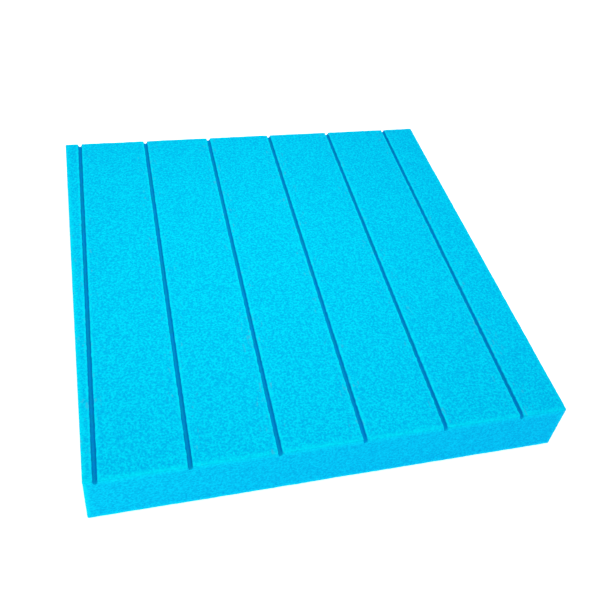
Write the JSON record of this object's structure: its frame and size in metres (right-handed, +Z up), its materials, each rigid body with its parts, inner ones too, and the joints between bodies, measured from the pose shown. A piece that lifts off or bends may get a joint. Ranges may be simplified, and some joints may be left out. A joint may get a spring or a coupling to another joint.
{
  "type": "xps insulation board",
  "caption": "Rigid extruded polystyrene foam board, thick and square-edged, with parallel keying grooves across its top face.",
  "frame": {"origin": "centre of the underside, on the surface the board lies on", "axes": "+X across the grooves, +Y along the grooves towards the back edge, +Z up through the thickness to the grooved face"},
  "size_m": [0.575, 0.6, 0.075],
  "materials": {
    "xps_foam": "matte"
  },
  "bodies": {
    "root": {"insulation_board": "xps_foam"}
  },
  "joints": []
}
